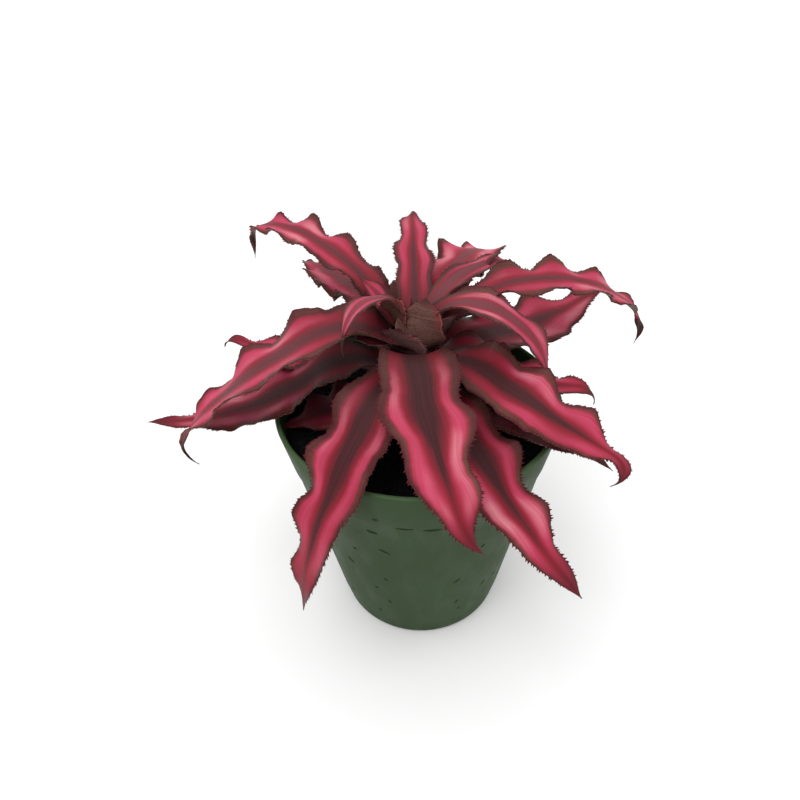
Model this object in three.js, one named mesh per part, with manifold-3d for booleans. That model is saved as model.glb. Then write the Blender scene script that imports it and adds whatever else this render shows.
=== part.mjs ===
import * as THREE from "three";
import { mergeVertices } from "three/addons/utils/BufferGeometryUtils.js";
import Module from "manifold-3d";

// A potted earth-star bromeliad: a low rosette of ruffled, striped leaves on a short stem,
// growing in potting soil in a round, tapered plastic nursery pot.
// Units are millimetres, +Z is up, and the origin is the centre of the pot's flat underside.
// Azimuths run anticlockwise from +X seen from above, so the front of the plant is at -90 degrees.

const wasm = await Module();
wasm.setup();

// ---- Driving dimensions ----

const GAP = 0.3; // clearance between pieces that rest on or press against each other

const POT_HEIGHT = 100;
const RIM_RADIUS = 52;
const BASE_RADIUS = 33.5;
const POT_WALL = 1.3;
const POT_FLOOR = 2;
const HEEL_RADIUS = 2.5; // rounding between the pot's wall and its underside
const BAND_HEIGHT = 17; // the rim band stands proud of the wall below it
const BAND_STEP = 0.8;
const LIP_RADIUS = 0.9; // half of the rounded lip's thickness
const POT_SIDES = 72;

const DRAIN_HOLES = 6;
const DRAIN_HOLE_RADIUS = 3;
const DRAIN_CIRCLE_RADIUS = 25;

const SOIL_LEVEL = 92;
const SOIL_MOUND = 1.5; // the soil stands this much higher at the stem
const STEM_ROOT_DEPTH = 14; // how far the stem goes down into the soil
const STEM_TOP = 127;
const STEM_ROOT_RADIUS = 9;
const STEM_TOP_RADIUS = 1.6;

const LEAF_RINGS = 18;
const LEAF_RIB_THICKNESS = 1.3;
const LEAF_EDGE_THICKNESS = 0.8;
const KNEE = 0.35; // share of a leaf's length at which its first, tighter arc ends
const HOOK_START = 0.84; // share of its length at which the drawn-out tip starts to curl
const WIDEST = 0.42; // share of its length at which a leaf is widest
const SCALLOP = 0.16; // how far the margin's waves also swing in and out, as a share of the width

// ---- Leaves, from the lowest and outermost to the youngest ----
// azimuth: compass direction of the base; sweep: how far the leaf turns to the left along its length.
// height: where the midrib leaves the stem; length and width: along and across the blade.
// rise, crest, fall: slope of the midrib in degrees at the base, at the knee and at the tip.
// hook, curl: extra downward and leftward turn of the drawn-out tip.
// roll: turn of the blade about its midrib at the tip; cup: how far its base is channelled.
// foot: width of the base as a share of the width; ruffle: height of the margin's waves.
// slim: share of the width that is lost early towards the tip; below zero the tip is blunter.
const COLUMNS = [
  "name", "azimuth", "sweep", "height", "length", "width", "rise", "crest", "fall",
  "hook", "curl", "roll", "cup", "foot", "waves", "phase", "ruffle", "slim",
];
const LEAVES = [
  ["low_leaf_left", -166, 0, 99, 44, 24, 26, -8, -16, 0, 0, 0, 0.3, 0.3, 4, 0.4, 1.4, 0.3],
  ["low_leaf_back", 84, 6, 97, 86, 24, 36, 0, -40, 20, 0, 0, 0.3, 0.3, 4, 2, 1.8, 0.3],
  ["low_leaf_right", -37, 14, 99, 70, 17, 44, -3, -22, 20, 0, 0, 0.3, 0.3, 4.5, 1, 1.2, 0.3],
  ["low_leaf_back_left", 116, -8, 101, 88, 24, 40, -6, -36, 20, 0, 0, 0.3, 0.3, 4, 4, 1.8, 0.3],
  ["low_leaf_back_right", 52, 4, 99, 88, 22, 38, -4, -40, 20, 0, 0, 0.3, 0.3, 4.5, 3, 1.8, 0.3],
  ["outer_leaf_front_right", -70, 26, 103, 95, 22.5, 62, -30, -28, 0, 0, 0, 0.35, 0.3, 4.5, 0, 2, -0.2],
  ["outer_leaf_right_back", 36, -5, 103, 90, 33, 54, -14, 20, 30, 0, 0, 0.35, 0.3, 4.5, 1, 2.2, 0.2],
  ["outer_leaf_left_back", 165, 0, 104, 74, 19, 40, -10, 26, 104, 0, 0, 0.35, 0.3, 5, 2, 1.6, 0.35],
  ["outer_leaf_left", -171, -2, 107, 99, 28, 64, -35, 8, 0, 0, 0, 0.35, 0.3, 4.5, 3.6, 2, 0.2],
  ["outer_leaf_right", -5, -6, 110, 70, 20, 88, -38, 14, 124, -36, 0, 0.35, 0.3, 5, 0, 1.6, 0.2],
  ["outer_leaf_front_left", -108, -41, 105, 116, 23, 82, -35, -86, 0, 0, 0, 0.4, 0.3, 5.6, 0.3, 1.6, -0.35],
  ["outer_leaf_back_left", 126, -10, 108, 104, 22, 72, -6, -16, 20, 0, 0, 0.4, 0.3, 6, 1, 3.3, 0.2],
  ["outer_leaf_back_right", 64, 4, 112, 98, 24, 82, 8, -50, 0, 0, 0, 0.4, 0.3, 5, 2, 2.8, 0.2],
  ["broad_leaf_right", -41, 13, 113, 87, 26, 58, -20, -17, 30, -190, 0, 0.4, 0.3, 4.5, 0, 2, 0.35],
  ["broad_leaf_front", -95, 34, 115, 89, 25, 70, -13, -47, 0, 60, 0, 0.4, 0.75, 4, 0, 1.3, -0.12],
  ["tall_leaf_left", 141, -12, 115, 119, 15.5, 72, 17, -40, 110, -43, -10, 0.45, 0.3, 6, 3, 2.4, 0.1],
  ["broad_leaf_left", -164, -4, 117, 111, 30, 70, -22, -52, 124, -40, 14, 0.45, 0.6, 5, 0.4, 2.2, 0.6],
  ["tall_leaf_right", 19, 6, 116, 121, 18.5, 70, -2, -60, 60, 10, 18, 0.45, 0.3, 6, 1.45, 2.4, 0.1],
  ["tall_leaf_back", 92, -2, 118, 67, 13, 62, 34, -8, 0, 0, 0, 0.45, 0.8, 4, 0, 1.2, -0.35],
  ["inner_leaf_right", 0, -40, 124, 66, 15, 90, 0, -84, 0, 0, 0, 0.6, 0.4, 3, 0, 1.2, 0.3],
  ["inner_leaf_back_right", 52, -3, 121, 70, 8, 86, 6, -32, 0, 0, 30, 0.6, 0.5, 3, 0, 0.8, 0.2],
  ["inner_leaf_left", 196, 45, 126, 48, 6.5, 90, 42, -104, 0, 0, 0, 0.6, 0.4, 3, 0, 0.8, 0.4],
  ["crown_leaf_outer", -124, 0, 117, 18, 18, 50, 66, 92, 0, 0, 0, 0.6, 0.6, 1.5, 1, 0.6, -0.4],
  ["inner_leaf_front_left", -146, -20, 120, 26, 9, 82, 18, 16, 0, 0, 0, 0.6, 0.4, 2.5, 0, 0.8, 0.3],
  ["inner_leaf_back_left", 152, 0, 123, 28, 10, 70, 46, 36, 0, 0, 0, 0.6, 0.5, 2.5, 0, 0.8, 0],
  ["crown_leaf_left", 174, 0, 121, 20.5, 14.5, 72, 74, 60, 0, 0, 84, 0.1, 0.5, 1.5, 0, 0.6, -0.5],
  ["crown_leaf_front", -72, -62, 121, 21.5, 17, 44, 100, 118, 0, 0, 0, 0, 0.22, 1.5, 0, 0.6, -0.3],
  ["crown_leaf_right", -26, 20, 118, 23, 7.5, 84, 66, 36, 0, 0, -60, 0.5, 0.5, 1.5, 0, 0.6, 0.2],
].map((row) => Object.fromEntries(row.map((value, i) => [COLUMNS[i], value])));

// ---- Finishes ----

const finish = (color, roughness) => new THREE.MeshStandardMaterial({ color, roughness, metalness: 0 });
const GREEN_PLASTIC = finish(0x49664a, 0.45);
const DARK_PEAT = finish(0x14100d, 1);
const LEAF_PINK = finish(0xb03a50, 0.5);
const STEM_BROWN = finish(0x6b5a44, 0.8);

// ---- Joins and cuts ----

// A closed three.js geometry as a manifold-3d solid, and back again.
function solidFrom(geometry) {
  const bare = new THREE.BufferGeometry();
  bare.setAttribute("position", geometry.getAttribute("position"));
  bare.setIndex(geometry.index);
  const merged = mergeVertices(bare, 1e-4);
  const triVerts = new Uint32Array(merged.index.array);
  return new wasm.Manifold(
    new wasm.Mesh({ numProp: 3, vertProperties: merged.attributes.position.array, triVerts }),
  );
}

function geometryFrom(solid) {
  const { numProp, numVert, vertProperties, triVerts } = solid.getMesh();
  const points = new Float32Array(numVert * 3);
  for (let i = 0; i < numVert; i++) {
    points.set(vertProperties.subarray(i * numProp, i * numProp + 3), i * 3);
  }
  const geometry = new THREE.BufferGeometry();
  geometry.setAttribute("position", new THREE.BufferAttribute(points, 3));
  geometry.setIndex(new THREE.BufferAttribute(triVerts, 1));
  return geometry;
}

// ---- Pot ----

const wallRadius = (z) => BASE_RADIUS + ((RIM_RADIUS - BASE_RADIUS) * z) / POT_HEIGHT;

// A closed profile of [radius, height] points turned about the Z axis.
function turned(profile, sides) {
  const points = profile.map(([r, z]) => new THREE.Vector2(r, z));
  return new THREE.LatheGeometry(points, sides).rotateX(Math.PI / 2);
}

// Points of an arc in the profile plane, its ends included.
function arc(centreR, centreZ, radius, from, to, steps) {
  return Array.from({ length: steps + 1 }, (_, i) => {
    const angle = THREE.MathUtils.degToRad(from + ((to - from) * i) / steps);
    return [centreR + radius * Math.cos(angle), centreZ + radius * Math.sin(angle)];
  });
}

function potGeometry() {
  const bandFoot = POT_HEIGHT - BAND_HEIGHT;
  const profile = [
    [0, 0],
    ...arc(BASE_RADIUS - HEEL_RADIUS, HEEL_RADIUS, HEEL_RADIUS, -90, 0, 3),
    [wallRadius(bandFoot) - BAND_STEP, bandFoot - BAND_STEP],
    [wallRadius(bandFoot), bandFoot],
    ...arc(RIM_RADIUS - LIP_RADIUS, POT_HEIGHT - LIP_RADIUS, LIP_RADIUS, 0, 180, 4),
    [wallRadius(bandFoot) - BAND_STEP - POT_WALL, bandFoot - BAND_STEP],
    [wallRadius(POT_FLOOR) - POT_WALL, POT_FLOOR],
    [0, POT_FLOOR],
  ];
  let pot = solidFrom(turned(profile, POT_SIDES));
  for (let i = 0; i < DRAIN_HOLES; i++) {
    const hole = new THREE.CylinderGeometry(DRAIN_HOLE_RADIUS, DRAIN_HOLE_RADIUS, 3 * POT_FLOOR, 16);
    hole.rotateX(Math.PI / 2).translate(DRAIN_CIRCLE_RADIUS, 0, 0);
    pot = pot.subtract(solidFrom(hole.rotateZ((i * 2 * Math.PI) / DRAIN_HOLES)));
  }
  return geometryFrom(pot);
}

// ---- Soil and stem ----

const stemRadius = (z) => {
  const root = SOIL_LEVEL - STEM_ROOT_DEPTH;
  const share = THREE.MathUtils.clamp((z - root) / (STEM_TOP - root), 0, 1);
  return STEM_ROOT_RADIUS + (STEM_TOP_RADIUS - STEM_ROOT_RADIUS) * share;
};

function soilGeometry() {
  const innerRadius = (z) => wallRadius(z) - BAND_STEP - POT_WALL - GAP;
  const mound = SOIL_LEVEL + SOIL_MOUND;
  const socketFloor = SOIL_LEVEL - STEM_ROOT_DEPTH - GAP;
  const profile = [
    [0, POT_FLOOR + GAP],
    [innerRadius(POT_FLOOR) - 0.5, POT_FLOOR + GAP],
    [innerRadius(SOIL_LEVEL), SOIL_LEVEL],
    [innerRadius(SOIL_LEVEL) * 0.6, SOIL_LEVEL + 0.4 * SOIL_MOUND],
    [stemRadius(mound) + 1 + GAP, mound],
    [stemRadius(socketFloor) + GAP, socketFloor],
    [0, socketFloor],
  ];
  return turned(profile, POT_SIDES / 2);
}

function stemGeometry() {
  const root = SOIL_LEVEL - STEM_ROOT_DEPTH;
  return turned([[0, root], [stemRadius(root), root], [STEM_TOP_RADIUS, STEM_TOP], [0, STEM_TOP]], 20);
}

// ---- Leaves ----

const ease = (x) => x * x * (3 - 2 * x);
const part = (t, from, to) => THREE.MathUtils.clamp((t - from) / (to - from), 0, 1);

const slopeAt = (leaf, t) =>
  leaf.rise +
  (leaf.crest - leaf.rise) * part(t, 0, KNEE) +
  (leaf.fall - leaf.crest) * part(t, KNEE, 1) -
  leaf.hook * part(t, HOOK_START, 1) ** 1.5;

const headingAt = (leaf, t) =>
  leaf.azimuth + leaf.sweep * t + leaf.curl * part(t, HOOK_START, 1) ** 1.5;

// Half the blade's width: a narrower foot, the full width at WIDEST, then a long drawn-out tip.
function halfWidthAt(leaf, t) {
  const foot = leaf.foot + (1 - leaf.foot) * ease(part(t, 0, WIDEST));
  const tip = (1 - part(t, WIDEST, 1) ** 2.1) ** 1.15;
  const slim = 1 - leaf.slim * ease(part(t, HOOK_START - 0.12, HOOK_START + 0.05));
  return 0.5 * leaf.width * foot * tip * slim;
}

// Frames along the midrib at each share t: a point, the blade's side and its upward normal.
function midribFrames(leaf, shares) {
  const fineSteps = 200;
  const azimuth = THREE.MathUtils.degToRad(leaf.azimuth);
  const foot = stemRadius(leaf.height) + GAP + LEAF_RIB_THICKNESS / 2;
  const point = new THREE.Vector3(foot * Math.cos(azimuth), foot * Math.sin(azimuth), leaf.height);
  const frames = [];
  let next = 0;
  for (let i = 0; i <= fineSteps; i++) {
    const t = i / fineSteps;
    const slope = THREE.MathUtils.degToRad(slopeAt(leaf, t));
    const heading = THREE.MathUtils.degToRad(headingAt(leaf, t));
    const tangent = new THREE.Vector3(
      Math.cos(slope) * Math.cos(heading),
      Math.cos(slope) * Math.sin(heading),
      Math.sin(slope),
    );
    const side = new THREE.Vector3(-Math.sin(heading), Math.cos(heading), 0);
    side.applyAxisAngle(tangent, THREE.MathUtils.degToRad(leaf.roll) * t);
    const up = new THREE.Vector3().crossVectors(tangent, side);
    if (next < shares.length && t >= shares[next] - 1e-9) {
      frames.push({ t: shares[next], point: point.clone(), side, up });
      next += 1;
    }
    point.addScaledVector(tangent, leaf.length / fineSteps);
  }
  return frames;
}

// The ruffle's wave, from -1 to 1. The two margins are out of step.
const waveAt = (leaf, t, s) =>
  Math.sin(2 * Math.PI * leaf.waves * t + (s > 0 ? leaf.phase : leaf.phase + 2.1));

// How far the blade stands above its midrib at s, from -1 at the right margin to 1 at the left.
function liftAt(leaf, t, s, halfWidth) {
  const channel = leaf.cup * (1 - 0.75 * ease(part(t, 0, 0.45)));
  const wave = waveAt(leaf, t, s) * Math.sin(Math.PI * t) ** 0.6;
  return channel * halfWidth * s * s + leaf.ruffle * wave * Math.abs(s) ** 2.4;
}

const ACROSS = [-1, -0.55, 0, 0.55, 1];

function leafGeometry(leaf, extra = 0) {
  const shares = Array.from({ length: LEAF_RINGS }, (_, i) => {
    const u = i / LEAF_RINGS;
    return Math.round(200 * (0.97 * u + 0.05 * u * u)) / 200;
  });
  const frames = midribFrames(leaf, [...shares, 1]);
  const ringPoints = 2 * ACROSS.length;
  const points = [];
  for (const { t, point, side, up } of frames.slice(0, -1)) {
    const halfWidth = Math.max(halfWidthAt(leaf, t), 0.8) + extra;
    const upper = ACROSS.map((s) => ({ s, face: 1 }));
    const lower = ACROSS.map((s) => ({ s: -s, face: -1 }));
    for (const { s, face } of [...upper, ...lower]) {
      const thickness = LEAF_RIB_THICKNESS + (LEAF_EDGE_THICKNESS - LEAF_RIB_THICKNESS) * Math.abs(s);
      const lift = liftAt(leaf, t, s, halfWidth) + face * (thickness / 2 + extra);
      const swing = 1 + waveAt(leaf, t, s) * SCALLOP * ease(part(t, 0.25, 0.5));
      const reach = s * halfWidth * swing;
      points.push(point.clone().addScaledVector(side, reach).addScaledVector(up, lift));
    }
  }
  points.push(frames.at(-1).point);
  const triangles = [];
  const quad = (a, b, c, d) => triangles.push(a, c, b, a, d, c);
  for (let i = 0; i + 1 < LEAF_RINGS; i++) {
    for (let j = 0; j < ringPoints; j++) {
      const k = (j + 1) % ringPoints;
      quad(i * ringPoints + j, i * ringPoints + k, (i + 1) * ringPoints + k, (i + 1) * ringPoints + j);
    }
  }
  const lastRing = (LEAF_RINGS - 1) * ringPoints;
  for (let j = 0; j < ringPoints; j++) {
    triangles.push(lastRing + ((j + 1) % ringPoints), lastRing + j, points.length - 1);
  }
  for (let j = 0; j + 1 < ACROSS.length; j++) {
    const below = ringPoints - 1 - j;
    quad(j, below, below - 1, j + 1);
  }
  const geometry = new THREE.BufferGeometry().setFromPoints(points);
  geometry.setIndex(triangles);
  return geometry;
}

// ---- Assembly ----

function piece(name, geometry, material) {
  const mesh = new THREE.Mesh(geometry, material);
  mesh.name = name;
  return mesh;
}

// Where a leaf would run into a younger one, it is cut back to leave a gap around it.
function fittedLeaves() {
  const blades = LEAVES.map((leaf) => solidFrom(leafGeometry(leaf)));
  return LEAVES.map((leaf, i) => {
    let blade = blades[i];
    for (let j = i + 1; j < LEAVES.length; j++) {
      if (blade.intersect(blades[j]).volume() > 0) {
        blade = blade.subtract(solidFrom(leafGeometry(LEAVES[j], GAP)));
      }
    }
    const bodies = blade.decompose().sort((a, b) => b.volume() - a.volume());
    return piece(leaf.name, geometryFrom(bodies[0]), LEAF_PINK);
  });
}

const plant = new THREE.Group();
plant.add(piece("pot", potGeometry(), GREEN_PLASTIC));
plant.add(piece("potting_soil", soilGeometry(), DARK_PEAT));
plant.add(piece("stem", stemGeometry(), STEM_BROWN));
plant.add(...fittedLeaves());

export default plant;
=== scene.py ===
# %% [markdown]
# # A potted earth-star bromeliad
# The plant is a low rosette of stiff, ruffled leaves on a short stem, in potting soil, in a
# tapered plastic nursery pot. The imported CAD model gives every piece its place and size. Here
# each piece is built again with the detail that the eye looks for: saw-toothed margins, striped
# blades, crumbly soil and a turned pot. Lengths are metres and +Z is up.

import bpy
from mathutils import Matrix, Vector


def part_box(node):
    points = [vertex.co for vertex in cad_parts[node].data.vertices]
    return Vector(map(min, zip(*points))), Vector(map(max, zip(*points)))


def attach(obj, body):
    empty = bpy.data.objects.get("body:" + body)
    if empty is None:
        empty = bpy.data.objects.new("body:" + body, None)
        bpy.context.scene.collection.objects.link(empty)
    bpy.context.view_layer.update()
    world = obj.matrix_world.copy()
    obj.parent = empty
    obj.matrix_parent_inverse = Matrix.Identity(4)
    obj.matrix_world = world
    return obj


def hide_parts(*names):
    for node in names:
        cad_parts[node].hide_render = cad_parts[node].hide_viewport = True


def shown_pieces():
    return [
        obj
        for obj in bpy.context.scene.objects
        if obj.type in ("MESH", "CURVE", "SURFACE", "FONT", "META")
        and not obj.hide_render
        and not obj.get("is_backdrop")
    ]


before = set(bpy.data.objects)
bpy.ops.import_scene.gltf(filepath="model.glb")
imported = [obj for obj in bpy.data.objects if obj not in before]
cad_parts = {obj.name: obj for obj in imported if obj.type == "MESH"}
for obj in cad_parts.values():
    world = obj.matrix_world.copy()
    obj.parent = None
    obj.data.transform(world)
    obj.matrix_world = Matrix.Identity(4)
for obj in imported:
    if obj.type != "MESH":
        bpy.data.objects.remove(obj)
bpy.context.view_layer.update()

# %% Modules and one unit
import math
from types import SimpleNamespace

import bmesh
import bpy
from mathutils import Quaternion, Vector, noise

MM = 0.001
scene = bpy.context.scene
scene.view_settings.view_transform = "Standard"
print("nodes in the frame:", len(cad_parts))

# %% [markdown]
# ## Writing node trees as sentences
# Blender draws materials and procedural shapes as nodes joined by wires. Long formulas are
# easier to read as Python, so a Wire stands for one output of a node, and sums or products of
# wires add the Math nodes. Every other node comes from Bench.add: type, settings, sockets.


# %% A wire that does arithmetic
class Wire:
    """One output socket of a node. Arithmetic on it adds Math nodes to its bench."""

    def __init__(self, bench, socket):
        self.bench, self.socket = bench, socket

    def out(self, name):
        return Wire(self.bench, self.socket.node.outputs[name])

    def math(self, operation, *others):
        return self.bench.math(operation, self, *others)

    def __add__(self, other):
        return self.bench.math("ADD", self, other)

    def __radd__(self, other):
        return self.bench.math("ADD", other, self)

    def __sub__(self, other):
        return self.bench.math("SUBTRACT", self, other)

    def __rsub__(self, other):
        return self.bench.math("SUBTRACT", other, self)

    def __mul__(self, other):
        return self.bench.math("MULTIPLY", self, other)

    def __rmul__(self, other):
        return self.bench.math("MULTIPLY", other, self)

    def __truediv__(self, other):
        return self.bench.math("DIVIDE", self, other)

    def __rtruediv__(self, other):
        return self.bench.math("DIVIDE", other, self)

    def __pow__(self, other):
        return self.bench.math("POWER", self, other)

    def __abs__(self):
        return self.bench.math("ABSOLUTE", self)


# %% A bench that nodes are laid out on
class Bench:
    """A node tree, with one method that adds any node and a few that add common ones."""

    def __init__(self, tree):
        self.tree = tree

    def feed(self, socket, value):
        for one in value if isinstance(value, list) else [value]:
            if isinstance(one, Wire):
                self.tree.links.new(one.socket, socket)
            elif socket.type == "RGBA" and len(one) == 3:
                socket.default_value = (*one, 1.0)
            else:
                socket.default_value = one

    def add(self, kind, settings=None, sockets=None, out=0):
        node = self.tree.nodes.new(kind)
        for name, value in (settings or {}).items():
            setattr(node, name, value)
        for name, value in (sockets or {}).items():
            self.feed(node.inputs[name], value)
        return Wire(self, node.outputs[out]) if node.outputs else node

    def math(self, operation, *values):
        return self.add("ShaderNodeMath", {"operation": operation}, dict(enumerate(values)))

    def vector(self, operation, *values):
        return self.add("ShaderNodeVectorMath", {"operation": operation}, dict(enumerate(values)))

    def scaled(self, vector, factor):
        sockets = {0: vector, "Scale": factor}
        return self.add("ShaderNodeVectorMath", {"operation": "SCALE"}, sockets)

    def xyz(self, x, y, z):
        return self.add("ShaderNodeCombineXYZ", None, {0: x, 1: y, 2: z})

    def ramp(self, value, start, end, low=0.0, high=1.0, kind="SMOOTHSTEP"):
        settings = {"interpolation_type": kind}
        return self.add("ShaderNodeMapRange", settings, dict(enumerate((value, start, end, low, high))))

    def mix(self, factor, first, second):
        # A Mix node has sockets for every data type. Its colours are inputs 6 and 7 and output 2.
        return self.add("ShaderNodeMix", {"data_type": "RGBA"}, {0: factor, 6: first, 7: second}, 2)

    def noise(self, place, scale, detail=2.0, roughness=0.5):
        sockets = {"Vector": place, "Scale": scale, "Detail": detail, "Roughness": roughness}
        return self.add("ShaderNodeTexNoise", None, sockets)


print("node helpers are ready")

# %% [markdown]
# ## Colours as the eye names them
# A colour picker gives screen values from 0 to 255. Shaders work in linear light, so each
# named colour is converted once.


# %% Convert a screen colour
def screen(red, green, blue, gain=1.0):
    """A linear colour from screen values, with its brightness multiplied by gain."""

    def linear(value):
        share = value / 255
        return share / 12.92 if share <= 0.04045 else ((share + 0.055) / 1.055) ** 2.4

    return tuple(min(0.95, gain * linear(value)) for value in (red, green, blue))


print("mid grey in linear light:", round(screen(128, 128, 128)[0], 3))

# %% [markdown]
# ## Camera
# The plant is seen from the front and from above, close enough for the pot to taper strongly
# towards its foot. The camera is set by where it stands, what it is aimed at, and how far it
# leans to one side. The lens and the sensor are in millimetres.

# %% Place the camera
LENS = 29.475
SENSOR_WIDTH = 36.0
CAMERA_PLACE = Vector((0.0, -0.18926, 0.24628))
CAMERA_AIM = Vector((-0.00653, 0.0, 0.09781))
CAMERA_LEAN = math.radians(-2.12)

camera = bpy.data.objects.new("camera", bpy.data.cameras.new("camera"))
camera.data.lens = LENS
camera.data.sensor_width = SENSOR_WIDTH
camera.data.clip_start, camera.data.clip_end = 0.01, 50.0
camera.location = CAMERA_PLACE
look = (CAMERA_AIM - CAMERA_PLACE).to_track_quat("-Z", "Y")
camera.rotation_mode = "QUATERNION"
camera.rotation_quaternion = look @ Quaternion((0, 0, 1), CAMERA_LEAN)
scene.collection.objects.link(camera)
scene.camera = camera
steepness = math.asin((CAMERA_PLACE - CAMERA_AIM).normalized().z)
print("camera looks down by", round(math.degrees(steepness), 1), "degrees")

# %% [markdown]
# ## From a node tree to a plain mesh
# A Geometry Nodes tree is a recipe. Its sizes come in through named inputs, and the modifier
# stores them under each socket's identifier. The evaluated result is copied to a plain mesh,
# and the modifier is taken off, so the finished piece stands on its own.


# %% Start a recipe and cook it
def recipe(name, inputs):
    """A bench on a new Geometry Nodes tree with these named inputs, and its Group Input."""
    tree = bpy.data.node_groups.new(name, "GeometryNodeTree")
    tree.interface.new_socket(name="Geometry", in_out="INPUT", socket_type="NodeSocketGeometry")
    for label, kind in inputs.items():
        tree.interface.new_socket(name=label, in_out="INPUT", socket_type="NodeSocket" + kind)
    tree.interface.new_socket(name="Geometry", in_out="OUTPUT", socket_type="NodeSocketGeometry")
    bench = Bench(tree)
    return bench, bench.add("NodeGroupInput")


def serve(bench, parts, material):
    """Ends a recipe: joined, realized, given its material and passed to the output."""
    joined = bench.add("GeometryNodeJoinGeometry", None, {0: parts})
    real = bench.add("GeometryNodeRealizeInstances", None, {0: joined})
    finished = bench.add("GeometryNodeSetMaterial", None, {"Geometry": real, "Material": material})
    bench.add("NodeGroupOutput", None, {0: finished})


def cook(name, bench, values, base=None):
    """A new object that holds the recipe's result as a plain mesh."""
    piece = bpy.data.objects.new(name, base or bpy.data.meshes.new(name))
    scene.collection.objects.link(piece)
    modifier = piece.modifiers.new("recipe", "NODES")
    modifier.node_group = bench.tree
    for item in bench.tree.interface.items_tree:
        if item.in_out == "INPUT" and item.name in values:
            modifier[item.identifier] = values[item.name]
    graph = bpy.context.evaluated_depsgraph_get()
    result = bpy.data.meshes.new_from_object(
        piece.evaluated_get(graph), preserve_all_data_layers=True, depsgraph=graph
    )
    piece.modifiers.remove(modifier)
    piece.data = result
    result.name = name
    return piece


def triangles(piece):
    return sum(len(face.vertices) - 2 for face in piece.data.polygons)


print("recipes can be cooked")


# %% Read what points carry, and turn and set out what stands on them
def stored(b, name, kind="FLOAT_VECTOR"):
    return b.add("GeometryNodeInputNamedAttribute", {"data_type": kind}, {"Name": name})


def facing(b, outward, lengthwise):
    """A turn that points an instance's Z outward and its X as nearly lengthwise as it can."""
    node = "FunctionNodeAlignRotationToVector"
    turned_out = b.add(node, {"axis": "Z"}, {"Vector": outward})
    sockets = {"Rotation": turned_out, "Vector": lengthwise}
    return b.add(node, {"axis": "X", "pivot_axis": "Z"}, sockets)


def set_out(b, points, instance, turn, scale):
    sockets = {"Points": points, "Instance": instance, "Rotation": turn, "Scale": scale}
    return b.add("GeometryNodeInstanceOnPoints", None, sockets)


print("instances can be set out")

# %% [markdown]
# ## Starting and ending a finish
# Every finish of the plant and its pot ends in the same way: a colour and a roughness that
# change over the surface, and a relief too fine to model, which a Bump node turns into small
# tilts of the surface. So one function starts such a material and another ends it.


# %% Start and end a finish
def start_finish(name):
    """A new material, and the bench for its empty node tree."""
    material = bpy.data.materials.new(name)
    material.use_nodes = True
    material.node_tree.nodes.clear()
    return material, Bench(material.node_tree)


def end_finish(b, colour, roughness, relief, strength, depth, specular):
    """Joins the wires to the shader. Depth is the height in metres that a relief of 1 stands for."""
    bump = b.add("ShaderNodeBump", None, {"Strength": strength, "Distance": depth, "Height": relief})
    sockets = {"Base Color": colour, "Roughness": roughness, "Specular IOR Level": specular}
    shader = b.add("ShaderNodeBsdfPrincipled", None, sockets | {"Normal": bump})
    b.add("ShaderNodeOutputMaterial", None, {"Surface": shader})


def object_place(b):
    """A point's place on its piece, in metres."""
    return b.add("ShaderNodeTexCoord", None, None, "Object")


print("finishes can be started and ended")

# %% [markdown]
# ## Leaf finish
# An earth-star leaf is striped along its length: a dark wine-brown centre band, two crimson
# stripes that turn pink in their middles, and olive-brown margins. The pattern follows the
# blade, so the blade carries its own coordinates as attributes: the share along it, the share
# across it, which face is which, and its real place in millimetres for the fine grain. It also
# carries its looks, which are numbers that differ from leaf to leaf.

# %% Leaf colours
LEAF_GAIN = 0.70
# The deepest crimson is painted shade, for leaves that lie in shadow.
DEEP_SHADE = screen(70, 14, 26, LEAF_GAIN)
WINE = screen(62, 24, 30, LEAF_GAIN)
WINE_OLIVE = screen(94, 42, 42, LEAF_GAIN)
# Mauve is a painted sheen, laid over the centre band.
SHEEN_MAUVE = screen(156, 76, 86, LEAF_GAIN)
CRIMSON = screen(160, 34, 54, LEAF_GAIN)
ROSE = screen(220, 78, 112, LEAF_GAIN)
# The palest rose is a painted highlight.
HIGHLIGHT_ROSE = screen(246, 164, 172, LEAF_GAIN)
MARGIN = screen(92, 38, 42, LEAF_GAIN)
MARGIN_OLIVE = screen(112, 68, 58, LEAF_GAIN)
TOOTH = screen(88, 24, 30, LEAF_GAIN)
DRY = screen(92, 60, 54, LEAF_GAIN)
UNDERSIDE = screen(90, 52, 47, LEAF_GAIN)
UNDERSIDE_LIT = screen(128, 90, 78, LEAF_GAIN)
PALE_EDGE = screen(164, 116, 106, LEAF_GAIN)
SCURF = screen(110, 84, 88, LEAF_GAIN)
# Dark brown, for the painted shade at a leaf's foot and for its dry tip.
SHADE_AND_DRY_BROWN = screen(66, 38, 38, LEAF_GAIN)
print("crimson in linear light:", [round(v, 3) for v in CRIMSON])

# %% Patterns on a blade: repeats per millimetre across it and along it, then from leaf to leaf
LOOKS = ("blush", "dry_from", "scurf", "fade", "band")
FIBRES = (1.9, 0.05, 1.0)
WOBBLE = (0.16, 0.06, 1.0)
PATCHES = (0.05, 0.055, 1.0)
CROSS_BANDS = (0.10, 1.7, 1.0)
GRAIN = 2.2


def blade_patterns(b):
    """Wires for all that a blade carries, and for the uneven patterns laid along it."""

    def carried(name, out="Fac"):
        return b.add("ShaderNodeAttribute", {"attribute_name": name}, None, out)

    def laid(repeats, detail):
        return b.noise(b.vector("MULTIPLY", place, repeats), 1.0, detail)

    place = carried("blade_place", "Vector")
    return SimpleNamespace(
        along=carried("blade_along"),
        across=carried("blade_across"),
        face=carried("blade_face"),
        fibres=laid(FIBRES, 3.0),
        wobble=laid(WOBBLE, 2.0),
        patch=laid(PATCHES, 1.0),
        bands=laid(CROSS_BANDS, 2.0),
        grain=b.noise(place, GRAIN, 4.0, 0.65),
        **{look: carried("leaf_" + look) for look in LOOKS},
    )


print("looks that a leaf carries:", ", ".join(LOOKS))


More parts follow.
